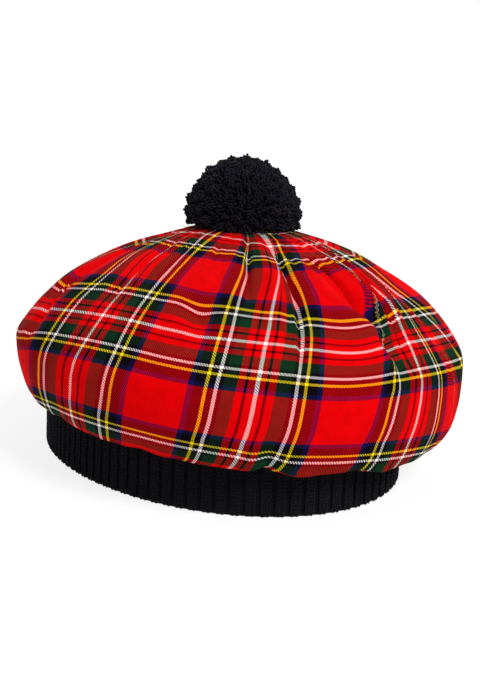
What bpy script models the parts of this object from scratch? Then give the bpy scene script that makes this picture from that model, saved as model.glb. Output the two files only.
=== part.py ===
"""A tam o' shanter: a round gathered tartan crown, a ribbed knitted headband and a yarn pompom.
Metres, +Z up, the floor at z = 0, the origin at the middle of the headband, the front toward -Y.
Bearings are degrees round the hat: 0 is the front, 90 the wearer's right, 180 the back."""
import math
import random

import bmesh
import bpy
import numpy as np
from mathutils import Vector
from mathutils.bvhtree import BVHTree

for old in list(bpy.data.objects):
    bpy.data.objects.remove(old)

mm = 0.001

# Headband, the knitted ring that the hat stands on
BAND_LONG = 107.0 * mm        # outer half length, front to back
BAND_SHORT = 87.7 * mm        # outer half width
BAND_HEIGHT = 38.0 * mm
BAND_WALL = 4.2 * mm          # a double layer of thick rib knit
RIBS = 96
RIB_DEPTH = 0.9 * mm

# Crown, the gathered tartan bag
CROWN_CENTRE = (3.0 * mm, -10.5 * mm)
GATHER = (7.8 * mm, 15.0 * mm)  # from there to the gathered middle under the pompom
REACH = 114.0 * mm            # from the crown's middle to its widest line
TOP = 119.5 * mm              # height of the middle of the crown
GIRTH = 61.0 * mm             # height of the widest line
HANG = 19.5 * mm              # height of the lowest edge, beside the band
CLOTH = 1.5 * mm              # cloth and lining together
CLEAR = 0.3 * mm              # room between touching pieces
COLUMNS = 80

# Pompom
BALL_RADIUS = 27.6 * mm       # to the ground between the locks
BALL_LIFT = 4.0 * mm          # the ball's middle above the crown's middle
LOCK = 2.6 * mm
SEAT = 0.4 * mm

# How the crown's profile changes round the hat, as shares of the sizes above;
# slope 0 is a full round shoulder and 1 a straight one
SIDE_COLUMNS = ("bearing", "reach", "girth", "hang", "slope", "belly")
SIDES = (
    (0, 1.02, 0.94, 1.14, 0.00, 0.95),
    (45, 1.03, 0.96, 1.39, 0.10, 1.00),
    (90, 0.98, 1.00, 1.52, 0.50, 1.00),
    (135, 1.03, 0.98, 1.60, 1.30, 1.15),
    (180, 1.14, 0.96, 1.35, 1.20, 1.00),
    (225, 1.05, 0.98, 1.15, 0.50, 0.90),
    (270, 0.99, 0.95, 0.90, 0.00, 0.65),
    (315, 1.01, 0.92, 0.75, 0.00, 0.60),
)

# Crown profile above the widest line: share of reach, share of height round and straight
UPPER_COLUMNS = ("out", "round", "straight")
UPPER = (
    (0.000, 1.000, 1.000),
    (0.207, 0.962, 0.952),
    (0.360, 0.888, 0.865),
    (0.580, 0.742, 0.705),
    (0.770, 0.560, 0.510),
    (0.888, 0.375, 0.320),
    (0.980, 0.150, 0.085),
    (1.000, 0.000, 0.000),
)

# Crown profile from the widest line to the hang: share of the way in, share of the drop
LOWER_COLUMNS = ("inward", "down")
LOWER = (
    (0.00, 0.00),
    (0.04, 0.25),
    (0.16, 0.50),
    (0.42, 0.78),
    (0.72, 0.95),
    (1.00, 1.00),
)
OVERHANG = 7.5 * mm           # the hang's distance outside the band

# The tuck from the hang back up over the band: distance outside the band as a share
# of the overhang, share of the rise to the band's top
TUCK_COLUMNS = ("beyond_band", "rise")
TUCK = (
    (0.50, 0.12),
    (0.40, 0.60),
    (0.27, 0.91),
    (0.10, 1.00),
    (-0.32, 1.00),
)

# Rows of the crown, as shares of the way from its middle (0) by the widest line (0.66) to the hang (1)
ROWS = (0.06, 0.13, 0.20, 0.27, 0.34, 0.41, 0.48, 0.55, 0.61, 0.67, 0.74, 0.81, 0.88, 0.94, 1.00)
WIDEST = 0.66

# Soft folds of the crown: bearing at the upper and lower end, rows from and to,
# half width, depth of the hollow and height of the lip beside it, in the unit above them
FOLD_UNIT = 1.0 * mm
FOLD_COLUMNS = ("upper", "lower", "start", "end", "width", "depth", "lip")
FOLDS = (
    (29, 31, 0.11, 0.43, 5.0, 1.2, 0.8),
    (11, 19, 0.13, 0.57, 5.0, 1.4, 1.2),
    (351, 354, 0.24, 0.50, 7.0, 3.4, 1.2),
    (346, 350, 0.40, 0.61, 8.0, 2.8, 1.6),
    (89, 76, 0.19, 0.47, 5.0, 1.3, 0.9),
    (118, 106, 0.32, 0.55, 6.5, 2.8, 1.2),
    (102, 101, 0.50, 0.64, 4.5, 2.0, 1.2),
    (48, 42, 0.36, 0.54, 6.0, 1.4, 0.6),
    (351, 352, 0.48, 0.66, 4.5, 1.2, 1.4),
    (318, 321, 0.50, 0.82, 6.0, 2.2, 1.0),
    (25, 21, 0.70, 0.98, 5.0, 2.0, 0.8),
    (135, 129, 0.15, 0.58, 7.0, 2.4, 1.4),
    (166, 171, 0.17, 0.53, 7.0, 2.2, 1.2),
    (203, 199, 0.13, 0.61, 7.0, 2.6, 1.4),
    (238, 243, 0.17, 0.53, 6.5, 2.0, 1.2),
    (272, 268, 0.15, 0.59, 7.0, 2.4, 1.4),
    (300, 304, 0.13, 0.47, 6.0, 1.8, 1.0),
)

# Pinches where the cloth is gathered to the band: bearing, half width in degrees,
# depth in the same unit
PINCH_COLUMNS = ("bearing", "width", "depth")
PINCHES = (
    (22, 3.4, 2.6),
    (1, 4.0, 1.6),
    (332, 4.0, 2.0),
    (306, 4.4, 2.4),
    (280, 4.0, 1.8),
    (252, 4.4, 2.6),
    (226, 4.0, 2.0),
    (197, 4.2, 2.4),
    (168, 4.0, 1.8),
    (141, 4.2, 2.6),
    (112, 4.0, 2.0),
    (83, 4.0, 2.2),
    (52, 4.2, 1.6),
)


def material(name, colour, roughness):
    made = bpy.data.materials.new(name)
    made.use_nodes = True
    shader = made.node_tree.nodes["Principled BSDF"]
    linear = [(c / 255 / 12.92) if c <= 10 else ((c / 255 + 0.055) / 1.055) ** 2.4 for c in colour]
    shader.inputs["Base Color"].default_value = (*linear, 1.0)
    shader.inputs["Roughness"].default_value = roughness
    made.diffuse_color = (*linear, 1.0)
    return made


def direction(bearing):
    """The level direction of a bearing."""
    return np.array((-math.sin(math.radians(bearing)), -math.cos(math.radians(bearing))))


def band_radius(bearing):
    x, y = direction(bearing)
    return 1.0 / math.hypot(x / BAND_SHORT, y / BAND_LONG)


def smooth(p, f):
    """A smooth curve between the middle two of four values."""
    return 0.5 * (2 * p[1] + (p[2] - p[0]) * f + (2 * p[0] - 5 * p[1] + 4 * p[2] - p[3]) * f ** 2
                  + (3 * p[1] - p[0] - 3 * p[2] + p[3]) * f ** 3)


def side(name, bearing):
    """A share from the table of sides, smoothly round the hat."""
    column = SIDE_COLUMNS.index(name)
    place = (bearing % 360.0) / (360.0 / len(SIDES))
    low = int(place) % len(SIDES)
    return smooth([SIDES[(low + k) % len(SIDES)][column] for k in (-1, 0, 1, 2)], place - int(place))


def along(table, share):
    """A smooth point on a profile table, by its share of the profile's length."""
    rows = np.array(table, float)
    steps = np.concatenate(([0.0], np.cumsum(np.hypot(np.diff(rows[:, 0]), 0.5 * np.diff(rows[:, 1])))))
    place = np.interp(share, steps / steps[-1], np.arange(len(rows)))
    low = min(int(place), len(rows) - 2)
    four = [rows[max(0, min(len(rows) - 1, low + k))] for k in (-1, 0, 1, 2)]
    four[0] = four[0] if low > 0 else 2 * four[1] - four[2]
    four[3] = four[3] if low < len(rows) - 2 else 2 * four[2] - four[1]
    return smooth(four, place - low)


def bag(bearing, share):
    """A point of the crown without folds, from its middle (0) to the hang (1)."""
    ahead = direction(bearing)
    reach = REACH * side("reach", bearing)
    girth = GIRTH * side("girth", bearing)
    hang = HANG * side("hang", bearing)
    if share <= WIDEST:
        out, full, straight = along(UPPER, share / WIDEST)
        slope = side("slope", bearing)
        height = girth + (TOP - girth) * max(0.0, full + (straight - full) * slope)
        level = np.array(CROWN_CENTRE) + (1.0 - out) ** 2 * np.array(GATHER) + out * reach * ahead
    else:
        inward, down = along(LOWER, (share - WIDEST) / (1.0 - WIDEST))
        height = girth - (girth - hang) * min(1.0, max(0.0, down)) ** side("belly", bearing)
        widest = np.array(CROWN_CENTRE) + reach * ahead
        level = widest + inward * ((band_radius(bearing) + OVERHANG) * ahead - widest)
    return np.array((*level, height))


def bump(value, centre, width):
    return math.exp(-((value - centre) / width) ** 2)


def gate(value, start, end):
    """Rises from 0 at the start to 1 in the middle and back to 0 at the end."""
    if value <= start or value >= end:
        return 0.0
    return math.sin(math.pi * (value - start) / (end - start)) ** 0.7


def turn(a, b):
    """Signed degrees from b to a, the short way."""
    return (a - b + 180.0) % 360.0 - 180.0


def relief(bearing, share):
    """How far the folds and pinches lift the cloth, in metres."""
    degree = np.linalg.norm(bag(bearing + 0.5, share) - bag(bearing - 0.5, share)) / FOLD_UNIT
    lift = 0.0
    for upper, lower, start, end, width, depth, lip in FOLDS:
        strength = gate(share, start, end)
        if strength:
            line = upper + turn(lower, upper) * (share - start) / (end - start)
            across = turn(bearing, line) * degree
            if abs(across) < 4 * width:
                lift += strength * (lip * bump(across, 1.5 * width, width) - depth * bump(across, 0, width))
    if share > WIDEST:
        near = (share - WIDEST) / (1.0 - WIDEST)
        for bearing0, width, depth in PINCHES:
            lift -= near ** 2 * depth * bump(turn(bearing, bearing0), 0, width)
        lift += 0.5 * near ** 2
    return lift * FOLD_UNIT


def crown_point(bearing, share):
    """A point of the crown with its folds, lifted along the cloth's own outward direction."""
    here = bag(bearing, share)
    if share <= 0:
        return here
    round_about = bag(bearing + 0.5, share) - bag(bearing - 0.5, share)
    outward = bag(bearing, min(1.0, share + 0.004)) - bag(bearing, share - 0.004)
    normal = np.cross(round_about, outward)
    return here + normal / np.linalg.norm(normal) * relief(bearing, share)


def finish(mesh, name, made, smooth_faces=False):
    """Turns a bmesh into a named object of the hat with its own material."""
    bmesh.ops.recalc_face_normals(mesh, faces=mesh.faces)
    highest = max(mesh.faces, key=lambda face: face.calc_center_median().z)
    highest.normal_update()
    if highest.normal.z < 0:
        bmesh.ops.reverse_faces(mesh, faces=mesh.faces)
    data = bpy.data.meshes.new(name)
    mesh.to_mesh(data)
    mesh.free()
    data.materials.append(made)
    thing = bpy.data.objects.new(name, data)
    hat.objects.link(thing)
    for face in data.polygons:
        face.use_smooth = smooth_faces
    return thing


def join_rings(mesh, rings, closed=False):
    pairs = list(zip(rings, rings[1:] + rings[:1])) if closed else list(zip(rings, rings[1:]))
    for one, two in pairs:
        for k in range(len(one)):
            nxt = (k + 1) % len(one)
            mesh.faces.new((one[k], one[nxt], two[nxt], two[k]))


hat = bpy.data.collections.new("tam_o_shanter")
bpy.context.scene.collection.children.link(hat)
tartan = material("tartan_twill", (196, 16, 20), 0.85)
knit = material("black_rib_knit", (22, 21, 25), 0.95)
yarn = material("black_yarn", (14, 13, 18), 0.95)

# Crown: rings of cloth from the middle down to the tuck over the band
mesh = bmesh.new()
bearings = [360.0 * k / COLUMNS for k in range(COLUMNS)]
middle = mesh.verts.new(bag(0, 0))
rings = [[mesh.verts.new(crown_point(b, row)) for b in bearings] for row in ROWS]
for beyond, rise in TUCK:
    rings.append([mesh.verts.new((*((band_radius(b) + beyond * OVERHANG) * direction(b)),
                                  HANG * side("hang", b) * (1 - rise) + (BAND_HEIGHT + CLEAR) * rise))
                  for b in bearings])
for k in range(COLUMNS):
    mesh.faces.new((middle, rings[0][k], rings[0][(k + 1) % COLUMNS]))
join_rings(mesh, rings)
outside = BVHTree.FromBMesh(mesh)
crown = finish(mesh, "crown", tartan, smooth_faces=True)
thick = crown.modifiers.new("cloth", "SOLIDIFY")
thick.thickness = CLOTH
thick.offset = -1.0
thick.use_even_offset = False

# Headband: a ribbed ring with a flat foot and a flat top
mesh = bmesh.new()
steps = 3 * RIBS
rib = (0.0, 0.0, -RIB_DEPTH)
profile = (
    ("foot", -RIB_DEPTH, 0.0, 0.4),
    ("side_low", 0.0, 2.0 * RIB_DEPTH, 1.0),
    ("side_high", 0.0, BAND_HEIGHT, 1.0),
    ("inner_top", -BAND_WALL, BAND_HEIGHT, 0.0),
    ("inner_foot", -BAND_WALL, 0.0, 0.0),
)
rings = []
for name, outset, height, ribbed in profile:
    rings.append([mesh.verts.new((*((band_radius(360.0 * k / steps) + outset + ribbed * rib[k % 3])
                                    * direction(360.0 * k / steps)), height)) for k in range(steps)])
join_rings(mesh, rings, closed=True)
headband = finish(mesh, "headband", knit)

# Pompom: a ball whose yarn stands out in short locks, seated on the crown
mesh = bmesh.new()
bmesh.ops.create_icosphere(mesh, subdivisions=3, radius=1.0)
tips = {tuple(round(c, 4) for c in v.co) for v in mesh.verts}
mesh.free()
mesh = bmesh.new()
bmesh.ops.create_icosphere(mesh, subdivisions=4, radius=1.0)
rng = random.Random(11)
ball_middle = Vector((CROWN_CENTRE[0] + GATHER[0], CROWN_CENTRE[1] + GATHER[1], TOP + BALL_LIFT))
for vert in mesh.verts:
    ray = vert.co.normalized()
    lock = tuple(round(c, 4) for c in vert.co) in tips
    radius = BALL_RADIUS + (LOCK * rng.uniform(0.7, 1.3) if lock else LOCK * rng.uniform(-0.12, 0.15))
    place = ball_middle + ray * radius
    # the height of the crown under this point
    under = outside.ray_cast(Vector((place.x, place.y, TOP + BALL_RADIUS)), Vector((0, 0, -1)))[0]
    spread = math.hypot(place.x - ball_middle.x, place.y - ball_middle.y)
    seat = under.z + SEAT * (1.0 + 0.5 * min(1.0, spread / BALL_RADIUS))
    if place.z < seat:
        place.z = seat
    vert.co = place
pompom = finish(mesh, "pompom", yarn)
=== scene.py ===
import math

import bpy
import numpy as np
from mathutils import Matrix, Vector


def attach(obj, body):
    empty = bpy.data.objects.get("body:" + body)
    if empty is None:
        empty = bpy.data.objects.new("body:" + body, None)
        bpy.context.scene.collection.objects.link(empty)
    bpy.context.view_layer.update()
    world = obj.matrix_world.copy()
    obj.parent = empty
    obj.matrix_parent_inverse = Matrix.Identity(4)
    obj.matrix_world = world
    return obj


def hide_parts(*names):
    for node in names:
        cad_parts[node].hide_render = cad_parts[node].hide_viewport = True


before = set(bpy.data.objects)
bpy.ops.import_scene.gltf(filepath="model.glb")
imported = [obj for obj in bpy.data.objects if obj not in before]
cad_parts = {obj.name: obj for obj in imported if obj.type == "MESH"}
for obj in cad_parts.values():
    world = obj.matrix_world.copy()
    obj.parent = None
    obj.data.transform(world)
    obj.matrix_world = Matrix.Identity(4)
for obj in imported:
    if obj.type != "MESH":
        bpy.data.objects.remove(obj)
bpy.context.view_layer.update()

mm = 0.001

# Sizes shared with the solids of the hat
BAND_LONG, BAND_SHORT = 107.0 * mm, 87.7 * mm
BAND_HEIGHT, BAND_WALL = 38.0 * mm, 4.2 * mm
RIBS = 96
CROWN_CENTRE = np.array((3.0, -10.5)) * mm
REACH, TOP, GIRTH, HANG = 114.0 * mm, 119.5 * mm, 61.0 * mm, 19.5 * mm
OVERHANG, CLEAR = 7.5 * mm, 0.3 * mm
BALL_RADIUS, BALL_LIFT = 27.6 * mm, 4.0 * mm
WIDEST = 0.66                         # share of the cloth from the middle to the widest line
GATHER = np.array((7.8, 15.0)) * mm   # the gathered middle lies back of the outline's middle

# The bag at eight bearings round it, where 0 is the front and 90 the wearer's right: shares of
# REACH, GIRTH and HANG, how far the top runs straight, and how early the underside turns in
SIDE_COLUMNS = ("bearing", "reach", "girth", "hang", "slope", "belly")
SIDES = (
    (0, 1.02, 0.94, 1.14, 0.00, 0.95),
    (45, 1.03, 0.96, 1.39, 0.10, 1.00),
    (90, 0.98, 1.00, 1.52, 0.50, 1.00),
    (135, 1.03, 0.98, 1.60, 1.30, 1.15),
    (180, 1.14, 0.96, 1.35, 1.20, 1.00),
    (225, 1.05, 0.98, 1.15, 0.50, 0.90),
    (270, 0.99, 0.95, 0.90, 0.00, 0.65),
    (315, 1.01, 0.92, 0.75, 0.00, 0.60),
)
# The top's section: distance out, height where the top is full, height where it runs straight
UPPER = (
    (0.000, 1.000, 1.000),
    (0.207, 0.962, 0.952),
    (0.360, 0.888, 0.865),
    (0.580, 0.742, 0.705),
    (0.770, 0.560, 0.510),
    (0.888, 0.375, 0.320),
    (0.980, 0.150, 0.085),
    (1.000, 0.000, 0.000),
)
# The underside's section: distance inward from the widest line, distance down
LOWER = (
    (0.00, 0.00),
    (0.04, 0.25),
    (0.16, 0.50),
    (0.42, 0.78),
    (0.72, 0.95),
    (1.00, 1.00),
)
# The cloth turned up beside and over the headband: distance beyond it in overhangs, rise
TUCK = (
    (0.50, 0.12),
    (0.40, 0.60),
    (0.27, 0.91),
    (0.10, 1.00),
    (-0.32, 1.00),
)

# Folds: bearing at the upper and the lower end, shares where they start and end, then half width,
# depth and height of the lip beside them, in mm
FOLDS = (
    (29, 31, 0.11, 0.43, 5.0, 1.2, 0.8),
    (11, 19, 0.13, 0.57, 5.0, 1.4, 1.2),
    (351, 354, 0.24, 0.50, 7.0, 3.4, 1.2),
    (346, 350, 0.40, 0.61, 8.0, 2.8, 1.6),
    (89, 76, 0.19, 0.47, 5.0, 1.3, 0.9),
    (118, 106, 0.32, 0.55, 6.5, 2.8, 1.2),
    (102, 101, 0.50, 0.64, 4.5, 2.0, 1.2),
    (48, 42, 0.36, 0.54, 6.0, 1.4, 0.6),
    (351, 352, 0.48, 0.66, 4.5, 1.2, 1.4),
    (318, 321, 0.50, 0.82, 6.0, 2.2, 1.0),
    (25, 21, 0.70, 0.98, 5.0, 2.0, 0.8),
    (135, 129, 0.15, 0.58, 7.0, 2.4, 1.4),
    (166, 171, 0.17, 0.53, 7.0, 2.2, 1.2),
    (203, 199, 0.13, 0.61, 7.0, 2.6, 1.4),
    (238, 243, 0.17, 0.53, 6.5, 2.0, 1.2),
    (272, 268, 0.15, 0.59, 7.0, 2.4, 1.4),
    (300, 304, 0.13, 0.47, 6.0, 1.8, 1.0),
)
# Pinches at the hem: bearing, half width in degrees, depth in mm
PINCHES = (
    (22, 3.4, 2.6),
    (1, 4.0, 1.6),
    (332, 4.0, 2.0),
    (306, 4.4, 2.4),
    (280, 4.0, 1.8),
    (252, 4.4, 2.6),
    (226, 4.0, 2.0),
    (197, 4.2, 2.4),
    (168, 4.0, 1.8),
    (141, 4.2, 2.6),
    (112, 4.0, 2.0),
    (83, 4.0, 2.2),
    (52, 4.2, 1.6),
)

# Sharp small creases that the cloth's gathers leave, in the same columns as the folds
CREASES = (
    (28.5, 31, 0.12, 0.42, 1.4, 2.6, 1.0),
    (11, 19, 0.20, 0.60, 1.6, 3.0, 1.5),
    (350.5, 351.5, 0.24, 0.48, 1.9, 7.0, 2.4),
    (334, 349, 0.20, 0.62, 1.6, 2.4, 1.2),
    (330, 342, 0.16, 0.56, 1.6, 1.2, 0.8),
    (322, 334, 0.14, 0.62, 1.8, 1.4, 1.0),
    (91, 74, 0.17, 0.46, 1.4, 1.3, 0.7),
    (82, 69, 0.19, 0.40, 1.3, 0.7, 0.4),
    (72, 63, 0.17, 0.36, 1.8, 0.6, 0.4),
    (50, 47, 0.12, 0.32, 1.6, 0.8, 0.5),
    (4, 6, 0.17, 0.32, 1.8, 0.8, 0.5),
    (118, 102, 0.28, 0.53, 2.4, 7.0, 2.2),
)

# Round hollows and swellings: bearing, row share, half width and half length in mm, lift in mm
SWELLS = (
    (44, 0.455, 7.0, 6.0, -2.4),
    (104, 0.560, 5.0, 4.0, -1.8),
    (99, 0.520, 5.0, 4.0, 1.2),
    (350, 0.425, 6.5, 8.5, -5.8),
    (352, 0.530, 7.0, 6.0, -3.6),
    (341, 0.440, 5.0, 9.0, 2.6),
    (8, 0.380, 9.0, 16.0, 1.6),
    (24, 0.900, 6.0, 6.0, 1.2),
    (14, 0.930, 8.0, 5.0, 1.6),
    (352, 0.930, 7.0, 5.0, 1.2),
)

# The tartan on the crown, counted in repeats of the pattern (setts), eight of them round the
# hat. Each guide is one thread line of the cloth: its place in setts, then its bearing at each
# of the eight rows, which are shares of the way down. Where guides meet, the cloth between
# them is gathered into a pleat.
GUIDE_ROWS = (0.07, 0.13, 0.21, 0.30, 0.40, 0.50, 0.62, 0.75)
GUIDES = (
    (1.7565, 140, 139, 136, 133, 130, 128, 126, 125),
    (1.2435, 114, 114, 110.5, 102, 93, 90.3, 88.5, 90.2),
    (1.194, 111.5, 111.5, 107.5, 98, 89.7, 86.7, 85.6, 87),
    (1.01, 92.2, 92.2, 88.2, 83.8, 75.6, 73.1, 73.8, 75.2),
    (0.99, 91.8, 91.8, 87.8, 83.4, 74.8, 72.3, 73, 74.4),
    (0.806, 74.3, 74.3, 68.4, 64.8, 63.1, 62.6, 62.8, 64.7),
    (0.7565, 61.5, 61.5, 62, 60.7, 60.2, 60, 60.7, 62.2),
    (0.657, 52.5, 52.5, 54, 55.5, 55.2, 55.2, 56.5, 58),
    (0.343, 33.5, 33.5, 36, 39, 40.7, 41.3, 43, 44.5),
    (0.2435, 27, 27, 30.8, 32.6, 35.8, 37.4, 39.1, 40.7),
    (0.204, 27, 27, 30.4, 31.1, 33.5, 35.1, 37.3, 39),
    (0.184, 27, 27, 29.4, 30.2, 32.6, 34.2, 36.4, 38.1),
    (0.01, 12.5, 12.2, 13.6, 16.9, 22.7, 26.1, 29, 30.7),
    (-0.01, 2, 5.4, 10.9, 15.8, 21.7, 25.1, 28, 29.7),
    (-0.0455, 2, 5.4, 10.9, 15.8, 20.6, 23.9, 26.9, 28.6),
    (-0.098, 2, 5.4, 10.9, 15.8, 18.4, 21.2, 24.6, 26.2),
    (-0.165, 2, 5.4, 10.9, 15.8, 15.8, 17.6, 21.3, 22.9),
    (-0.184, 2, 5.4, 10.9, 15.5, 15.2, 16.8, 20.5, 22.1),
    (-0.204, 2, 5.4, 10.9, 14.5, 14.3, 15.9, 19.6, 21.2),
    (-0.2335, -8, -0.6, 7.4, 11.5, 12.9, 14.6, 18.4, 19.9),
    (-0.2535, -11, -2.4, 5.6, 9.9, 12.1, 13.8, 17.6, 19.1),
    (-0.343, -20, -13, -6.2, 4.2, 7.5, 10.6, 14.1, 15.6),
    (-0.657, -25, -25, -25, -22.5, -14, -6.8, -1.1, 2.7),
    (-0.7, -26, -26, -26, -24, -17.5, -10.3, -2.6, 1),
    (-0.7565, -26, -26, -26, -24, -17.5, -10.3, -4.3, -1.5),
    (-0.806, -26, -26, -26, -24, -17.5, -10.3, -6.4, -3.4),
    (-0.835, -26, -26, -26, -24, -17.5, -10.3, -7.5, -4.7),
    (-0.99, -29, -29, -28.5, -26.2, -20.2, -16.9, -13.8, -11.6),
    (-1.01, -29.6, -29.6, -29.2, -26.8, -20.8, -17.5, -14.6, -12.5),
    (-1.184, -40, -40, -39, -34.4, -28.1, -22.3, -21, -20.9),
    (-1.204, -40.6, -40.6, -39.6, -35.2, -28.8, -22.9, -21.8, -21.7),
    (-1.2435, -40.6, -40.6, -39.6, -35.2, -28.8, -23.9, -22.8, -23),
    (-1.343, -40.6, -40.6, -39.6, -35.2, -28.8, -25.4, -25.8, -27),
    (-1.36, -40.6, -40.6, -39.6, -35.2, -28.8, -27.2, -30, -34),
    (-2.07, -40.6, -40.6, -39.6, -35.2, -28.8, -27.2, -30, -34),
    (-2.098, -41.4, -41.4, -40.4, -36.4, -30.4, -30.1, -31.5, -38),
    (-2.165, -42, -42, -41, -36.8, -31.6, -32.9, -37.4, -43),
    (-2.194, -44, -44, -42.5, -37.8, -32.6, -34.3, -39.4, -46),
    (-2.2435, -52, -52, -51, -48, -37.2, -38.8, -43.4, -50),
    (-2.343, -58, -58, -57, -53, -42, -44, -48, -54),
    (-2.5, -64, -64, -63, -60, -52, -52, -55, -60),
)

# Rows of the cloth: each place in setts, and at each bearing how many mm down the crown it lies
CLOTH_DOWN = (0.0, 0.22, 0.78, 1.0, 1.22, 1.78)
CLOTH_ROWS = (
    (-50, 45, 63, 111, 126, 141, 184),
    (-36, 44, 61.7, 109.7, 125, 139.7, 183),
    (-12, 46.5, 62.7, 111.5, 126, 141.5, 181),
    (2, 44.3, 63.5, 117.3, 131.5, 144.3, 181),
    (12, 46, 63.8, 114.5, 130, 145.2, 181),
    (22, 42.5, 62.7, 112.1, 127.4, 143.1, 181.5),
    (32, 40, 57.8, 109.9, 126.3, 142, 179.4),
    (46, 38, 55.7, 105.8, 124.2, 139.4, 176.4),
    (60, 35.5, 51.8, 101.2, 118.6, 134.2, 171.5),
    (74, 33.2, 49.4, 98, 115.6, 131, 167.6),
    (90, 32.4, 47.8, 98, 115, 130, 165),
    (108, 34, 51, 102, 118, 134.5, 168),
    (150, 38, 57, 108, 125, 140, 176),
    (210, 44, 62, 112, 128, 143, 181),
    (310, 45, 63, 111, 126, 141, 184),
)

SETT = 88.0 * mm                      # one repeat of the tartan across the warp
TWILL = 1.4 * mm                      # one diagonal of the 2/2 twill, a little coarse so that it shows
PICKS = 0.86                          # weft threads for each warp thread
FULL_ROUND = 360.0
SEAM = 141.5                          # bearing where the cloth's round starts and ends
BEHIND = -78.5                        # bearing where the finely netted side ends
FIRST_PLACE, LAST_PLACE = 2.5, -5.5   # the cloth's places in setts at the seam
MIDDLE_PLACE = -0.5                   # the cloth's place down the weft where it is gathered
BACK_SETT = 52.5                      # degrees that one sett takes round the back
CLOTH_LENGTH = 205.0                  # mm of cloth from the middle to the hang
TUCK_ROWS = 13


def direction(bearing):
    """The level direction outward at a bearing in degrees."""
    return np.stack((-np.sin(np.radians(bearing)), -np.cos(np.radians(bearing))), -1)


def band_radius(bearing):
    """Distance from the middle to the headband's outside."""
    ahead = direction(bearing)
    return 1.0 / np.hypot(ahead[..., 0] / BAND_SHORT, ahead[..., 1] / BAND_LONG)


def smooth(p, f):
    """A smooth line through four values, at the share f between the middle two."""
    return 0.5 * (2 * p[1] + (p[2] - p[0]) * f + (2 * p[0] - 5 * p[1] + 4 * p[2] - p[3]) * f ** 2
                  + (3 * p[1] - p[0] - 3 * p[2] + p[3]) * f ** 3)


def side(name, bearing):
    """A column of SIDES, smooth all the way round."""
    column = np.array([row[SIDE_COLUMNS.index(name)] for row in SIDES])
    place = (bearing % FULL_ROUND) / (FULL_ROUND / len(column))
    low = np.floor(place).astype(int)
    return smooth([column[(low + k) % len(column)] for k in (-1, 0, 1, 2)], place - low)


def along(table, share):
    """The columns of a section's table, smooth along its length."""
    rows = np.array(table, float)
    gaps = np.hypot(np.diff(rows[:, 0]), 0.5 * np.diff(rows[:, 1]))
    steps = np.concatenate(([0.0], np.cumsum(gaps)))
    place = np.interp(share, steps / steps[-1], np.arange(len(rows)))
    low = np.minimum(place.astype(int), len(rows) - 2)
    longer = np.vstack((2 * rows[0] - rows[1], rows, 2 * rows[-1] - rows[-2]))
    return np.moveaxis(smooth([longer[low + k] for k in (0, 1, 2, 3)], (place - low)[..., None]), -1, 0)


def bag(bearing, share):
    """The crown without folds, from its middle (0) by the widest line to the hang (1)."""
    bearing, share = np.broadcast_arrays(np.asarray(bearing, float), np.asarray(share, float))
    ahead = direction(bearing)
    reach = REACH * side("reach", bearing)
    girth = GIRTH * side("girth", bearing)
    hang = HANG * side("hang", bearing)
    out, full, straight = along(UPPER, np.clip(share / WIDEST, 0, 1))
    above = girth + (TOP - girth) * np.maximum(0.0, full + (straight - full) * side("slope", bearing))
    inward, down = along(LOWER, np.clip((share - WIDEST) / (1.0 - WIDEST), 0, 1))
    below = girth - (girth - hang) * np.clip(down, 0, 1) ** side("belly", bearing)
    widest = CROWN_CENTRE + reach[..., None] * ahead
    hem = (band_radius(bearing) + OVERHANG)[..., None] * ahead
    upper = share <= WIDEST
    gathered = ((1.0 - np.clip(out, 0, 1)) ** 2)[..., None] * GATHER
    level = np.where(upper[..., None], CROWN_CENTRE + gathered + (out * reach)[..., None] * ahead,
                     widest + inward[..., None] * (hem - widest))
    return np.concatenate((level, np.where(upper, above, below)[..., None]), -1)


def bump(value, centre, width):
    """A smooth hump of height 1."""
    return np.exp(-((value - centre) / width) ** 2)


def turn(a, b):
    """The turn from bearing b to bearing a, the short way round."""
    return (a - b + 180.0) % FULL_ROUND - 180.0


def relief(bearing, share):
    """Lift of the cloth by its folds, creases, swells and hem pinches."""
    degree = np.linalg.norm(bag(bearing + 0.5, share) - bag(bearing - 0.5, share), axis=-1) / mm
    lift = np.zeros(degree.shape)
    for upper, lower, start, end, width, depth, lip in FOLDS + CREASES:
        between = np.clip((share - start) / (end - start), 0, 1)
        strength = np.sin(np.pi * between) ** 0.7
        across = turn(bearing, upper + turn(lower, upper) * between) * degree
        lift += strength * (lip * bump(across, 1.5 * width, width) - depth * bump(across, 0, width))
    for centre, row, width, length, amount in SWELLS:
        across = turn(bearing, centre) * degree
        lift += amount * bump(across, 0, width) * bump((share - row) * CLOTH_LENGTH, 0, length)
    near = np.clip((share - WIDEST) / (1.0 - WIDEST), 0, 1)
    for centre, width, depth in PINCHES:
        lift -= near ** 2 * depth * bump(turn(bearing, centre), 0, width)
    # between the pinches the hem swells a little
    lift += 0.5 * near ** 2
    # the small unevenness of gathered cloth
    ripple = (np.sin(np.radians(bearing * 23 + 40 * np.sin(np.radians(bearing * 3)))) * 0.22
              + np.sin(np.radians(bearing * 41 + 70 * np.sin(np.radians(bearing * 5)))) * 0.14)
    lift += ripple * (bump(share, 0.22, 0.16) + 0.8 * bump(share, 1.0, 0.14))
    return lift * mm


def srgb(code):
    """A hex colour as the linear values that a shader takes."""
    parts = [int(code[k:k + 2], 16) / 255 for k in (1, 3, 5)]
    return (*((c / 12.92) if c <= 0.04045 else ((c + 0.055) / 1.055) ** 2.4 for c in parts), 1.0)


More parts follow.
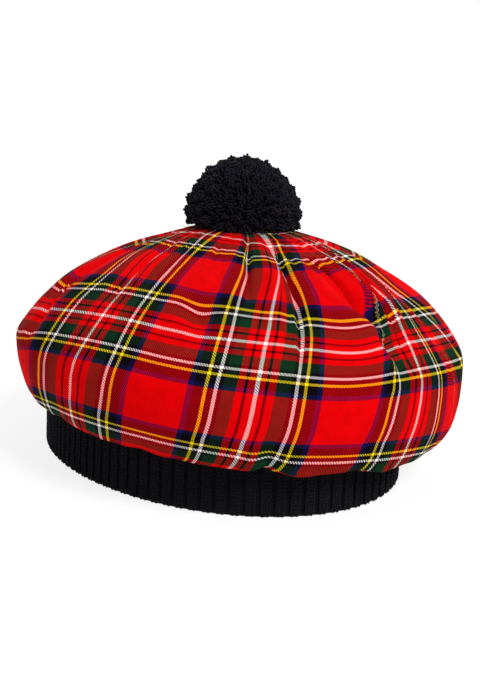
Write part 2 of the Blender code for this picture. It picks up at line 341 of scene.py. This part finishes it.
def node(tree, kind, inputs=(), **settings):
    """Adds a node, sets its own settings, then links or sets its inputs by name or number."""
    made = tree.nodes.new(kind)
    for key, value in settings.items():
        setattr(made, key, value)
    for key, value in dict(inputs).items():
        socket = made.inputs[key]
        if isinstance(value, bpy.types.NodeSocket):
            tree.links.new(value, socket)
        elif isinstance(value, bpy.types.Node):
            tree.links.new(value.outputs[0], socket)
        else:
            socket.default_value = value
    return made


def finish_of(name):
    """A new material with an empty tree, its shader and its output."""
    made = bpy.data.materials.new(name)
    made.use_nodes = True
    tree = made.node_tree
    tree.nodes.clear()
    shader = node(tree, "ShaderNodeBsdfPrincipled")
    node(tree, "ShaderNodeOutputMaterial", {"Surface": shader.outputs[0]})
    return made, tree, shader


def tartan_twill():
    """Worsted wool tartan in a 2/2 twill: warp and weft of the same stripes cross, so two colours
    mix in fine diagonals where they differ and stand pure where they meet."""
    made, tree, shader = finish_of("tartan_wool_twill")
    cloth = node(tree, "ShaderNodeUVMap", uv_map="cloth_uv")
    split = node(tree, "ShaderNodeSeparateXYZ", {0: cloth})
    red, black, white = "#CE0004", "#0A060A", "#F2ECE4"
    green, yellow, navy = "#0C2A18", "#F4D414", "#120E46"
    # where each stripe ends, in threads, from the middle of the white line to that of the red square
    stripes = ((white, 0.85), (red, 4.5), (black, 6.0), (red, 9.7), (green, 16.3), (black, 18.4),
               (white, 20.1), (black, 23.3), (yellow, 25.0), (black, 30.7), (navy, 33.9), (red, 49.4))
    threads = []
    for axis in (0, 1):
        half = node(tree, "ShaderNodeMath", {0: split.outputs[axis], 1: 0.5}, operation="PINGPONG")
        share = node(tree, "ShaderNodeMath", {0: half, 1: 2.0}, operation="MULTIPLY")
        ramp = node(tree, "ShaderNodeValToRGB", {0: share})
        ramp.color_ramp.interpolation = "CONSTANT"
        stops = ramp.color_ramp.elements
        place = 0.0
        for number, (colour, end) in enumerate(stripes):
            stop = stops[0] if number == 0 else (stops[1] if number == 1 else stops.new(place))
            stop.position = place
            stop.color = srgb(colour)
            place = end / stripes[-1][1]
        threads.append(ramp)
    # the twill's diagonals; four threads make one
    count = 4 * SETT / TWILL
    rows = node(tree, "ShaderNodeMath", {0: split.outputs[0], 1: count}, operation="MULTIPLY")
    picks = node(tree, "ShaderNodeMath", {0: split.outputs[1], 1: count * PICKS}, operation="MULTIPLY")
    end_number = node(tree, "ShaderNodeMath", {0: rows}, operation="FLOOR")
    pick_number = node(tree, "ShaderNodeMath", {0: picks}, operation="FLOOR")
    step = node(tree, "ShaderNodeMath", {0: end_number, 1: pick_number}, operation="ADD")
    turned = node(tree, "ShaderNodeMath", {0: step, 1: 4.0}, operation="FLOORED_MODULO")
    over = node(tree, "ShaderNodeMath", {0: turned, 1: 1.5}, operation="LESS_THAN")
    # the thread below still shows beside the one above, and the two mix as dark as dyed wool does
    darkness = 2.2
    showing = node(tree, "ShaderNodeMapRange", {0: over, 3: 0.2, 4: 0.8})
    deep = [node(tree, "ShaderNodeGamma", {0: ramp.outputs[0], 1: 1 / darkness}) for ramp in threads]
    blend = node(tree, "ShaderNodeMix", {0: showing, 6: deep[0].outputs[0], 7: deep[1].outputs[0]},
                 data_type="RGBA")
    mixed = node(tree, "ShaderNodeGamma", {0: blend.outputs[2], 1: darkness})
    # wool takes dye a little unevenly
    place3 = node(tree, "ShaderNodeTexCoord").outputs["Object"]
    cloud = node(tree, "ShaderNodeTexNoise", {"Vector": place3, "Scale": 160.0, "Detail": 4.0})
    tint = node(tree, "ShaderNodeMapRange", {0: cloud.outputs[0], 1: 0.3, 2: 0.7, 3: 0.90, 4: 1.08})
    shade = node(tree, "ShaderNodeVectorMath", {0: mixed, "Scale": tint}, operation="SCALE")
    tree.links.new(shade.outputs[0], shader.inputs["Base Color"])
    # each thread stands up round, and the napped wool is rough all over
    fuzz = node(tree, "ShaderNodeTexNoise", {"Vector": place3, "Scale": 2600.0, "Detail": 2.0})
    rounds = []
    for number in (rows, picks):
        part = node(tree, "ShaderNodeMath", {0: number}, operation="FRACT")
        rounds.append(node(tree, "ShaderNodeMath", {0: part, 1: 0.5}, operation="PINGPONG"))
    crown_of_thread = node(tree, "ShaderNodeMix", {0: over, 2: rounds[0], 3: rounds[1]},
                           data_type="FLOAT")
    height = node(tree, "ShaderNodeMath", {0: crown_of_thread.outputs[0], 1: 0.8, 2: fuzz.outputs[0]},
                  operation="MULTIPLY_ADD")
    rough = node(tree, "ShaderNodeBump", {"Height": height, "Strength": 0.35, "Distance": 0.2 * mm})
    tree.links.new(rough.outputs[0], shader.inputs["Normal"])
    shader.inputs["Roughness"].default_value = 0.85
    shader.inputs["Specular IOR Level"].default_value = 0.02
    return made


def black_fibre(name, grain, light_from, colours, fuzz, surface):
    """Black acrylic fibres: a dull dark ground, and between it fine lighter hairs."""
    made, tree, shader = finish_of(name)
    place3 = node(tree, "ShaderNodeTexCoord").outputs["Object"]
    fine = node(tree, "ShaderNodeTexNoise", {"Vector": place3, "Scale": grain, "Detail": 3.0})
    ramp = node(tree, "ShaderNodeValToRGB", {0: fine.outputs[0]})
    for stop, place, colour in zip(ramp.color_ramp.elements, (0.35, light_from), colours):
        stop.position = place
        stop.color = srgb(colour)
    tree.links.new(ramp.outputs[0], shader.inputs["Base Color"])
    rough = node(tree, "ShaderNodeBump",
                 {"Height": fine.outputs[0], "Strength": fuzz, "Distance": 0.3 * mm})
    tree.links.new(rough.outputs[0], shader.inputs["Normal"])
    for label, value in surface.items():
        shader.inputs[label].default_value = value
    return made


def black_rib_knit():
    """Black acrylic rib knit: soft dull yarn, with fine hairs that catch a little light."""
    return black_fibre("black_acrylic_rib_knit", 1800.0, 0.75, ("#060509", "#100F14"), 0.5, {
        "Roughness": 0.9, "Specular IOR Level": 0.06, "Sheen Weight": 0.03, "Sheen Roughness": 0.5})


def black_yarn():
    """Cut black acrylic yarn: the ends swallow light and only their fibres glint."""
    return black_fibre("black_acrylic_yarn", 1500.0, 0.8, ("#030207", "#211F2A"), 0.6, {
        "Roughness": 0.8, "Specular IOR Level": 0.06, "Sheen Weight": 0.04, "Sheen Roughness": 0.4})


def cloth_across(bearing, share):
    """The cloth's place across the warp, in setts, under each point of the crown."""
    guides = [(g[0], np.array(g[1:], float)) for g in GUIDES]
    # round the back the pleats are even: the cloth near every half sett is swallowed, at each
    # row the more the nearer it is to the pompom
    opened = np.array((0.12, 0.22, 0.36, 0.52, 0.70, 0.84, 0.95, 1.0))
    cell_half = 0.25
    hidden = 0.24 * (1.0 - opened)
    back_places = np.arange(-2.76, -5.45, -0.06)
    for u in back_places:
        cell = np.round(u * 2) / 2
        off = abs(u - cell)
        rest = np.maximum(0.004 * off, (off - hidden) * cell_half / (cell_half - hidden))
        setts = cell - LAST_PLACE + np.sign(u - cell) * rest
        guides.append((u, SEAM - FULL_ROUND + BACK_SETT * setts))
    guides.append((FIRST_PLACE, np.full(len(opened), SEAM)))
    guides.append((LAST_PLACE, np.full(len(opened), SEAM - FULL_ROUND)))
    guides = sorted({round(u, 4): line for u, line in guides}.items())
    places = np.array([u for u, _ in guides])
    lines = np.array([line for _, line in guides])
    # the guides' bearings at every row, on a cubic between the given rows on either side
    rows = np.array(GUIDE_ROWS)
    slopes = np.gradient(lines, rows, axis=1)
    out = np.zeros(bearing.shape)
    for j in range(share.shape[1]):
        s = float(np.clip(share[0, j], rows[0], rows[-1]))
        k = min(int(np.searchsorted(rows, s, side="right")) - 1, len(rows) - 2)
        h = rows[k + 1] - rows[k]
        f = (s - rows[k]) / h
        at = (lines[:, k] * (1 + 2 * f) * (1 - f) ** 2 + slopes[:, k] * h * f * (1 - f) ** 2
              + lines[:, k + 1] * f * f * (3 - 2 * f) + slopes[:, k + 1] * h * f * f * (f - 1))
        at = np.maximum.accumulate(at)
        out[:, j] = np.interp(bearing[:, j], at + np.arange(len(at)) * 1e-6, places)
    return out


def cloth_down(bearings, length):
    """The cloth's place across the weft, in setts, at each distance from the middle in mm."""
    table = np.array(CLOTH_ROWS, float)
    from_first = table[:, 0] - table[0, 0]
    # the cloth goes on under the pompom, and down into the tuck by these mm
    end_place, tucked = 2.93, 95.0
    v = np.zeros(length.shape)
    for i, bearing in enumerate(bearings):
        # averaged over a few degrees, so that the rows bend and have no corners
        nearby = (bearing - table[0, 0] + np.arange(-6.0, 6.1, 2.0)) % FULL_ROUND
        knots = [float(np.interp(nearby, from_first, column).mean()) for column in table.T[1:]]
        knots = [0.0, *knots, knots[-1] + tucked]
        v[i] = np.interp(length[i], knots, (MIDDLE_PLACE, *CLOTH_DOWN, end_place))
    return v


def tuck_points(bearings):
    """The cloth that turns in at the hang, up beside the headband and over its edge."""
    steps = np.linspace(0, len(TUCK) - 1, TUCK_ROWS)
    fine = [np.interp(steps, range(len(TUCK)), column) for column in np.array(TUCK).T]
    hang = HANG * side("hang", bearings)
    radius = band_radius(bearings)
    rings = []
    for beyond, rise in zip(*fine):
        level = (radius + beyond * OVERHANG)[:, None] * direction(bearings)
        height = hang * (1 - rise) + (BAND_HEIGHT + CLEAR) * rise
        rings.append(np.concatenate((level, height[:, None]), -1))
    return np.array(rings).transpose(1, 0, 2)


def distances(steps):
    """How far along each row of points lies, from the steps between them."""
    return np.cumsum(np.linalg.norm(steps, axis=-1), 1)


def make_crown():
    """The crown: a fine net of cloth over the bag, with its folds and its tartan."""
    # finer columns on the side where the folds are
    front = np.linspace(SEAM, BEHIND, 321)
    back = np.linspace(BEHIND, SEAM - FULL_ROUND, 121)
    bearings = np.concatenate((front, back[1:]))
    shares = np.concatenate((np.linspace(0.012, 0.60, 58), np.linspace(0.61, 1.0, 37)))
    grid_b, grid_s = np.meshgrid(bearings, shares, indexing="ij")
    plain = bag(grid_b, grid_s)
    near = 0.004
    about = bag(grid_b + 0.5, grid_s) - bag(grid_b - 0.5, grid_s)
    down = bag(grid_b, np.minimum(1.0, grid_s + near)) - bag(grid_b, np.maximum(0.0, grid_s - near))
    normal = np.cross(about, down)
    normal /= np.linalg.norm(normal, axis=-1, keepdims=True)
    points = plain + normal * relief(grid_b, grid_s)[..., None]
    points = np.concatenate((points, tuck_points(bearings)), 1)
    # the cloth's own coordinates
    first = np.linalg.norm(plain[:, :1] - bag(0.0, 0.0), axis=-1)
    length = np.concatenate((first, first + distances(np.diff(plain, axis=1))), 1)
    tail = distances(np.diff(points[:, len(shares) - 1:], axis=1))
    length = np.concatenate((length, length[:, -1:] + tail), 1) / mm
    v = cloth_down(bearings, length)
    shares_all = np.concatenate((shares, np.full(TUCK_ROWS, 1.0)))
    grid_b, grid_s = np.meshgrid(bearings, shares_all, indexing="ij")
    u = cloth_across(grid_b, grid_s)
    # faces: the last column lies on the first
    columns, rows = len(bearings) - 1, len(shares_all)
    verts = [tuple(bag(0.0, 0.0))] + [tuple(p) for p in points[:-1].reshape(-1, 3)]
    faces, loops = [], []
    for i in range(columns):
        a, b = 1 + i * rows, 1 + ((i + 1) % columns) * rows
        faces.append((0, b, a))
        middle = (0.5 * (u[i, 0] + u[i + 1, 0]), MIDDLE_PLACE)
        loops.append((middle, (u[i + 1, 0], v[i + 1, 0]), (u[i, 0], v[i, 0])))
        for j in range(rows - 1):
            faces.append((a + j, b + j, b + j + 1, a + j + 1))
            loops.append(((u[i, j], v[i, j]), (u[i + 1, j], v[i + 1, j]),
                          (u[i + 1, j + 1], v[i + 1, j + 1]), (u[i, j + 1], v[i, j + 1])))
    data = bpy.data.meshes.new("crown_cloth")
    data.from_pydata(verts, [], faces)
    layer = data.uv_layers.new(name="cloth_uv")
    places = np.array([value for face in loops for pair in face for value in pair], np.float32)
    layer.data.foreach_set("uv", places)
    data.shade_smooth()
    piece = bpy.data.objects.new("crown_cloth", data)
    bpy.context.scene.collection.objects.link(piece)
    if data.polygons[0].normal.z < 0:
        data.flip_normals()
    wall = piece.modifiers.new("cloth", "SOLIDIFY")
    wall.thickness = 1.2 * mm
    wall.offset = -1.0
    data.materials.append(tartan_twill())
    return piece


def plain_mesh(piece, name):
    """The evaluated result of a piece as a plain mesh with its modifiers gone."""
    graph = bpy.context.evaluated_depsgraph_get()
    data = bpy.data.meshes.new_from_object(piece.evaluated_get(graph), depsgraph=graph)
    data.name = name
    piece.modifiers.clear()
    old = piece.data
    piece.data = data
    piece.name = name
    bpy.data.meshes.remove(old)
    return piece


def repeat_piece(name, tree, values, material):
    """An object whose mesh a Geometry Nodes tree makes, with the tree's named inputs set."""
    piece = bpy.data.objects.new(name, bpy.data.meshes.new(name))
    bpy.context.scene.collection.objects.link(piece)
    maker = piece.modifiers.new("maker", "NODES")
    maker.node_group = tree
    for item in tree.interface.items_tree:
        if item.item_type == "SOCKET" and item.in_out == "INPUT" and item.name in values:
            maker[item.identifier] = values[item.name]
    plain_mesh(piece, name)
    piece.data.materials.clear()
    piece.data.materials.append(material)
    piece.data.shade_smooth()
    return piece


def new_tree(name, inputs):
    """An empty Geometry Nodes tree with named inputs; gives the tree and its group input."""
    tree = bpy.data.node_groups.new(name, "GeometryNodeTree")
    tree.interface.new_socket("Geometry", in_out="OUTPUT", socket_type="NodeSocketGeometry")
    for label, kind, value in inputs:
        socket = tree.interface.new_socket(label, in_out="INPUT", socket_type=kind)
        if value is not None:
            socket.default_value = value
    return tree, node(tree, "NodeGroupInput")


def rib_knit_body():
    """The headband's body: a thick ring whose ribs swell out and whose grooves sink in."""
    steps = RIBS * 10
    bearings = np.arange(steps) * FULL_ROUND / steps
    wave = 0.5 + 0.5 * np.cos(np.radians(bearings * RIBS - 60.0))
    # up the outside and down the inside: outset, height, share of the groove's depth
    outside, inside, top = -0.5 * mm, -BAND_WALL + 0.3 * mm, BAND_HEIGHT - 0.1 * mm
    profile = [(-1.5 * mm, 0.0, 0.4), (-0.8 * mm, 0.5 * mm, 0.8), (outside, 1.6 * mm, 1.0)]
    profile += [(outside, height * mm, 1.0) for height in (8, 14, 20, 26, 32, 37)]
    profile += [(-0.9 * mm, top, 0.5), (-BAND_WALL + 0.9 * mm, top, 0.0)]
    profile += [(inside, height * mm, -0.6) for height in (37, 30, 22, 14, 6, 1.2)]
    profile += [(-BAND_WALL + 0.9 * mm, 0.0, 0.0)]
    radius = band_radius(bearings)
    ahead = direction(bearings)
    groove = 1.1 * mm
    rings = []
    for outset, height, ribbed in profile:
        reach = radius + outset - ribbed * groove * (1 - wave)
        rings.append(np.concatenate((reach[:, None] * ahead, np.full((steps, 1), height)), -1))
    verts = [tuple(p) for ring in rings for p in ring]
    faces = []
    for r in range(len(rings)):
        low, high = r * steps, ((r + 1) % len(rings)) * steps
        for k in range(steps):
            n = (k + 1) % steps
            faces.append((low + k, high + k, high + n, low + n))
    data = bpy.data.meshes.new("headband_rib")
    data.from_pydata(verts, [], faces)
    data.shade_smooth()
    piece = bpy.data.objects.new("headband_rib", data)
    bpy.context.scene.collection.objects.link(piece)
    outer = data.polygons[2 * steps]
    if outer.normal.dot(outer.center * Vector((1, 1, 0))) < 0:
        data.flip_normals()
    return piece


def knit_stitch_tree():
    """Knitted stitches in columns over the ribs, in as many courses as show under the crown: every
    stitch is two short slanting yarns."""
    tree, given = new_tree("knit_stitches", (
        ("Half length", "NodeSocketFloat", BAND_LONG), ("Half width", "NodeSocketFloat", BAND_SHORT),
        ("Columns", "NodeSocketInt", RIBS * 4), ("Courses", "NodeSocketInt", 17),
        ("Course height", "NodeSocketFloat", 1.75 * mm), ("Yarn", "NodeSocketFloat", 0.62 * mm),
        ("Slant", "NodeSocketFloat", math.radians(24)), ("Seed", "NodeSocketInt", 5),
        ("Material", "NodeSocketMaterial", None)))
    pick = {s.name: s for s in given.outputs}
    total = node(tree, "ShaderNodeMath", {0: pick["Columns"], 1: pick["Courses"]}, operation="MULTIPLY")
    dots = node(tree, "GeometryNodePoints", {"Count": total})
    index = node(tree, "GeometryNodeInputIndex")
    course = node(tree, "ShaderNodeMath", {0: index, 1: pick["Columns"]}, operation="DIVIDE")
    course = node(tree, "ShaderNodeMath", {0: course}, operation="FLOOR")
    column = node(tree, "ShaderNodeMath", {0: index, 1: pick["Columns"]}, operation="MODULO")
    # four half stitches side by side make the two wales on one rib, and the groove stays bare
    on_rib = node(tree, "ShaderNodeMath", {0: column, 1: 4.0}, operation="MODULO")
    rib = node(tree, "ShaderNodeMath", {0: column, 1: 4.0}, operation="DIVIDE")
    rib = node(tree, "ShaderNodeMath", {0: rib}, operation="FLOOR")
    half_stitch = 0.165
    wale = node(tree, "ShaderNodeMath", {0: on_rib, 1: half_stitch, 2: 1.0 / 6.0 - 1.5 * half_stitch},
                operation="MULTIPLY_ADD")
    bearing = node(tree, "ShaderNodeMath", {0: rib, 1: wale}, operation="ADD")
    bearing = node(tree, "ShaderNodeMath", {0: bearing, 1: 2 * math.pi / RIBS}, operation="MULTIPLY")
    sine = node(tree, "ShaderNodeMath", {0: bearing}, operation="SINE")
    cosine = node(tree, "ShaderNodeMath", {0: bearing}, operation="COSINE")
    across = node(tree, "ShaderNodeMath", {0: sine, 1: pick["Half width"]}, operation="DIVIDE")
    ahead = node(tree, "ShaderNodeMath", {0: cosine, 1: pick["Half length"]}, operation="DIVIDE")
    across2 = node(tree, "ShaderNodeMath", {0: across, 1: across}, operation="MULTIPLY")
    both = node(tree, "ShaderNodeMath", {0: ahead, 1: ahead, 2: across2}, operation="MULTIPLY_ADD")
    radius = node(tree, "ShaderNodeMath", {0: both}, operation="INVERSE_SQRT")
    radius = node(tree, "ShaderNodeMath", {0: radius, 1: 0.55 * mm}, operation="SUBTRACT")
    minus = node(tree, "ShaderNodeMath", {0: radius, 1: -1.0}, operation="MULTIPLY")
    x = node(tree, "ShaderNodeMath", {0: minus, 1: sine}, operation="MULTIPLY")
    y = node(tree, "ShaderNodeMath", {0: minus, 1: cosine}, operation="MULTIPLY")
    first_course = 1.4 * mm
    z = node(tree, "ShaderNodeMath", {0: course, 1: pick["Course height"], 2: first_course},
             operation="MULTIPLY_ADD")
    place = node(tree, "ShaderNodeCombineXYZ", {0: x, 1: y, 2: z})
    uneven = 0.12 * mm
    shake = node(tree, "FunctionNodeRandomValue",
                 {0: (-uneven,) * 3, 1: (uneven,) * 3, "Seed": pick["Seed"]}, data_type="FLOAT_VECTOR")
    place = node(tree, "ShaderNodeVectorMath", {0: place, 1: shake}, operation="ADD")
    placed = node(tree, "GeometryNodeSetPosition", {"Geometry": dots, "Position": place})
    # outward of the oval, and the slant of each half stitch in the ring's own surface
    out_x = node(tree, "ShaderNodeMath", {0: x, 1: pick["Half width"]}, operation="DIVIDE")
    out_x = node(tree, "ShaderNodeMath", {0: out_x, 1: pick["Half width"]}, operation="DIVIDE")
    out_y = node(tree, "ShaderNodeMath", {0: y, 1: pick["Half length"]}, operation="DIVIDE")
    out_y = node(tree, "ShaderNodeMath", {0: out_y, 1: pick["Half length"]}, operation="DIVIDE")
    outward = node(tree, "ShaderNodeCombineXYZ", {0: out_x, 1: out_y})
    upright = node(tree, "FunctionNodeAxesToRotation", {0: outward, 1: (0.0, 0.0, 1.0)},
                   primary_axis="X", secondary_axis="Z")
    odd = node(tree, "ShaderNodeMath", {0: on_rib, 1: 2.0}, operation="MODULO")
    sign = node(tree, "ShaderNodeMath", {0: odd, 1: 2.0, 2: -1.0}, operation="MULTIPLY_ADD")
    slant = node(tree, "ShaderNodeMath", {0: sign, 1: pick["Slant"]}, operation="MULTIPLY")
    lean = node(tree, "ShaderNodeCombineXYZ", {0: slant})
    lean = node(tree, "FunctionNodeEulerToRotation", {0: lean})
    turned = node(tree, "FunctionNodeRotateRotation", {0: upright, 1: lean}, rotation_space="LOCAL")
    bead = node(tree, "GeometryNodeMeshUVSphere", {"Segments": 5, "Rings": 4, "Radius": 1.0})
    tall = node(tree, "ShaderNodeMath", {0: pick["Course height"], 1: 0.78}, operation="MULTIPLY")
    size = node(tree, "ShaderNodeCombineXYZ", {0: pick["Yarn"], 1: pick["Yarn"], 2: tall})
    yarn = node(tree, "GeometryNodeTransform", {"Geometry": bead, "Scale": size})
    many = node(tree, "GeometryNodeInstanceOnPoints",
                {"Points": placed, "Instance": yarn.outputs[0], "Rotation": turned})
    real = node(tree, "GeometryNodeRealizeInstances", {0: many})
    done = node(tree, "GeometryNodeSetMaterial", {"Geometry": real, "Material": pick["Material"]})
    node(tree, "NodeGroupOutput", {0: done})
    return tree


def pompom_tree():
    """Cut yarn ends standing out of a ball in every direction. Neighbours lean together into tufts,
    and some tufts stand a little longer than others."""
    tree, given = new_tree("pompom_yarn", (
        ("Radius", "NodeSocketFloat", BALL_RADIUS), ("Spacing", "NodeSocketFloat", 1.15 * mm),
        ("Ends", "NodeSocketFloat", 900000.0), ("Length", "NodeSocketFloat", 9.8 * mm),
        ("Yarn", "NodeSocketFloat", 0.66 * mm), ("Scatter", "NodeSocketFloat", math.radians(8)),
        ("Tuft", "NodeSocketFloat", 6.2 * mm), ("Foot", "NodeSocketFloat", -4.5 * mm),
        ("Seed", "NodeSocketInt", 3), ("Centre", "NodeSocketVector", (0.0, 0.0, 0.0)),
        ("Material", "NodeSocketMaterial", None)))
    pick = {s.name: s for s in given.outputs}
    ball = node(tree, "GeometryNodeMeshIcoSphere", {"Radius": pick["Radius"], "Subdivisions": 5})
    spread = node(tree, "GeometryNodeDistributePointsOnFaces",
                  {"Mesh": ball, "Distance Min": pick["Spacing"], "Density Max": pick["Ends"],
                   "Seed": pick["Seed"]}, distribute_method="POISSON")
    place = node(tree, "GeometryNodeInputPosition")
    parts = node(tree, "ShaderNodeSeparateXYZ", {0: place})
    low = node(tree, "FunctionNodeCompare", {0: parts.outputs[2], 1: pick["Foot"]},
               operation="LESS_THAN")
    kept = node(tree, "GeometryNodeDeleteGeometry",
                {"Geometry": spread.outputs[0], "Selection": low.outputs[0]})
    # each strand leans toward the middle of its tuft, and the middle stands longest
    middles = node(tree, "GeometryNodeDistributePointsOnFaces",
                   {"Mesh": ball, "Distance Min": pick["Tuft"], "Density Max": pick["Ends"],
                    "Seed": pick["Seed"]}, distribute_method="POISSON")
    nearest = node(tree, "GeometryNodeProximity", {0: middles.outputs[0], "Sample Position": place},
                   target_element="POINTS")
    toward = node(tree, "ShaderNodeVectorMath", {0: nearest.outputs[0], 1: place}, operation="SUBTRACT")
    toward = node(tree, "ShaderNodeVectorMath", {0: toward, "Scale": 3.8}, operation="SCALE")
    leaning = node(tree, "ShaderNodeVectorMath", {0: place, 1: toward}, operation="ADD")
    tall = node(tree, "ShaderNodeTexNoise", {"Vector": place, "Scale": 130.0, "Detail": 0.0})
    straight = node(tree, "FunctionNodeAlignRotationToVector", {"Vector": leaning}, axis="Z")
    down = node(tree, "ShaderNodeMath", {0: pick["Scatter"], 1: -1.0}, operation="MULTIPLY")
    twist = 3.1
    most = node(tree, "ShaderNodeCombineXYZ", {0: pick["Scatter"], 1: pick["Scatter"], 2: twist})
    least = node(tree, "ShaderNodeCombineXYZ", {0: down, 1: down, 2: -twist})
    jitter = node(tree, "FunctionNodeRandomValue", {0: least, 1: most, "Seed": pick["Seed"]},
                  data_type="FLOAT_VECTOR")
    lean = node(tree, "FunctionNodeEulerToRotation", {0: jitter})
    turned = node(tree, "FunctionNodeRotateRotation", {0: straight, 1: lean}, rotation_space="LOCAL")
    chance = node(tree, "FunctionNodeRandomValue", {2: -0.06, 3: 0.06, "Seed": pick["Seed"]})
    long = node(tree, "ShaderNodeMapRange", {0: tall.outputs[0], 1: 0.3, 2: 0.7, 3: 0.80, 4: 1.24})
    sunk = node(tree, "ShaderNodeMapRange",
                {0: nearest.outputs[1], 1: 0.0, 2: 3.8 * mm, 3: 0.14, 4: -0.36})
    long = node(tree, "ShaderNodeMath", {0: long, 1: sunk}, operation="ADD")
    long = node(tree, "ShaderNodeMath", {0: long, 1: chance.outputs[1]}, operation="ADD")
    size = node(tree, "ShaderNodeCombineXYZ", {0: 1.0, 1: 1.0, 2: long})
    end = node(tree, "GeometryNodeMeshCylinder",
               {"Vertices": 5, "Side Segments": 2, "Radius": 1.0, "Depth": 1.0})
    # the yarn's end blooms a little and its foot is thin; it reaches from inside the ball outward
    spot = node(tree, "GeometryNodeInputPosition")
    axis = node(tree, "ShaderNodeSeparateXYZ", {0: spot})
    bloom = node(tree, "ShaderNodeMapRange", {0: axis.outputs[2], 1: -0.5, 2: 0.5, 3: 0.5, 4: 1.0})
    thick = node(tree, "ShaderNodeMath", {0: bloom, 1: pick["Yarn"]}, operation="MULTIPLY")
    shape = node(tree, "ShaderNodeCombineXYZ", {0: thick, 1: thick, 2: pick["Length"]})
    raised = node(tree, "ShaderNodeVectorMath", {0: spot, 1: (0.0, 0.0, -0.20)}, operation="ADD")
    sized = node(tree, "ShaderNodeVectorMath", {0: raised, 1: shape}, operation="MULTIPLY")
    strand = node(tree, "GeometryNodeSetPosition", {"Geometry": end, "Position": sized})
    many = node(tree, "GeometryNodeInstanceOnPoints",
                {"Points": kept, "Instance": strand, "Rotation": turned, "Scale": size})
    real = node(tree, "GeometryNodeRealizeInstances", {0: many})
    moved = node(tree, "GeometryNodeTransform", {"Geometry": real, "Translation": pick["Centre"]})
    done = node(tree, "GeometryNodeSetMaterial", {"Geometry": moved, "Material": pick["Material"]})
    node(tree, "NodeGroupOutput", {0: done})
    return tree


def pompom_core():
    """The dark heart of the pompom, seated on the crown."""
    bpy.ops.mesh.primitive_uv_sphere_add(segments=48, ring_count=32, radius=BALL_RADIUS - 2.5 * mm)
    piece = bpy.context.object
    piece.name = piece.data.name = "pompom_core"
    # it ends just above the crown, which falls away from its middle
    middle = Vector((*(CROWN_CENTRE + GATHER), TOP + BALL_LIFT))
    fall, above_crown = 0.0035, 0.6 * mm
    for vert in piece.data.vertices:
        place = middle + vert.co
        spread = math.hypot(vert.co.x, vert.co.y)
        seat = TOP - fall * (spread / mm) ** 2 * mm + above_crown
        vert.co = (place.x, place.y, max(place.z, seat))
    piece.data.shade_smooth()
    return piece


# The pieces
crown = make_crown()
knit = black_rib_knit()
body = rib_knit_body()
body.data.materials.append(knit)
stitches = repeat_piece("headband_stitches", knit_stitch_tree(), {"Material": knit}, knit)
yarn = black_yarn()
core = pompom_core()
core.data.materials.append(yarn)
ball_middle = (*(CROWN_CENTRE + GATHER), TOP + BALL_LIFT - 0.3 * mm)
ends = repeat_piece("pompom_yarn", pompom_tree(), {"Material": yarn, "Centre": ball_middle}, yarn)

for piece, slot, replaced in ((crown, "tartan", "crown"), (body, "rib_knit", "headband"),
                              (stitches, "rib_knit", None), (core, "yarn", "pompom"),
                              (ends, "yarn", None)):
    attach(piece, "root")
    if replaced:
        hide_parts(replaced)

# Floor, light and camera
bpy.ops.mesh.primitive_plane_add(size=60.0)
floor = bpy.context.object
floor.name = "floor"
# a table of milky acrylic lit from below: it hardly takes a shadow
acrylic, _, acrylic_shader = finish_of("white_lit_acrylic_table")
for label, value in (("Base Color", srgb("#767676")), ("Emission Color", srgb("#FFFFFF")),
                     ("Emission Strength", 0.83), ("Roughness", 1.0), ("Specular IOR Level", 0.0)):
    acrylic_shader.inputs[label].default_value = value
floor.data.materials.append(acrylic)

world = bpy.data.worlds.new("studio")
bpy.context.scene.world = world
world.use_nodes = True
sky = world.node_tree
# a white room: brightest toward the horizon behind the floor, dimmer overhead
ahead = node(sky, "ShaderNodeSeparateXYZ", {0: node(sky, "ShaderNodeTexCoord").outputs["Generated"]})
glow = node(sky, "ShaderNodeMapRange", {0: ahead.outputs[2], 1: 0.12, 2: 0.40, 3: 1.0, 4: 0.44})
sky.nodes["Background"].inputs[0].default_value = (1.0, 1.0, 1.0, 1.0)
sky.links.new(glow.outputs[0], sky.nodes["Background"].inputs[1])


def soft_light(name, place, aim, spread, power):
    """A wide even light far off, as from a large softbox; its spread is in degrees."""
    lamp = bpy.data.lights.new(name, "SUN")
    lamp.angle = math.radians(spread)
    lamp.energy = power
    thing = bpy.data.objects.new(name, lamp)
    thing.location = place
    thing.rotation_euler = (Vector(aim) - Vector(place)).to_track_quat("-Z", "Y").to_euler()
    bpy.context.scene.collection.objects.link(thing)


soft_light("softbox_front", (0.12, -1.15, 1.25), (0, 0, 0), 20.0, 2.8)
soft_light("softbox_back", (0.6, 1.2, 1.3), (0, 0, 0), 40.0, 0.8)

# The camera, looking down a little from the front and the wearer's right, about 0.6 m away
azimuth, height, roll = math.radians(-32.79), math.radians(13.19), math.radians(3.08)
looked_at, distance = Vector((0.0074, -0.0048, 0.0548)), 0.6132
back = Vector((math.sin(azimuth) * math.cos(height), -math.cos(azimuth) * math.cos(height),
               math.sin(height)))
right = Vector((math.cos(azimuth), math.sin(azimuth), 0.0))
up = back.cross(right)
lens = bpy.data.cameras.new("camera")
lens.lens = lens.sensor_width * 1167.2 / 695.0   # focal length and picture height in pixels
lens.clip_start, lens.clip_end = 0.01, 20.0
camera = bpy.data.objects.new("camera", lens)
rolled_right = math.cos(roll) * right + math.sin(roll) * up
rolled_up = -math.sin(roll) * right + math.cos(roll) * up
camera.matrix_world = (Matrix.Translation(looked_at + back * distance)
                       @ Matrix((rolled_right, rolled_up, back)).transposed().to_4x4())
bpy.context.scene.collection.objects.link(camera)
bpy.context.scene.camera = camera
bpy.context.scene.view_settings.view_transform = "Standard"
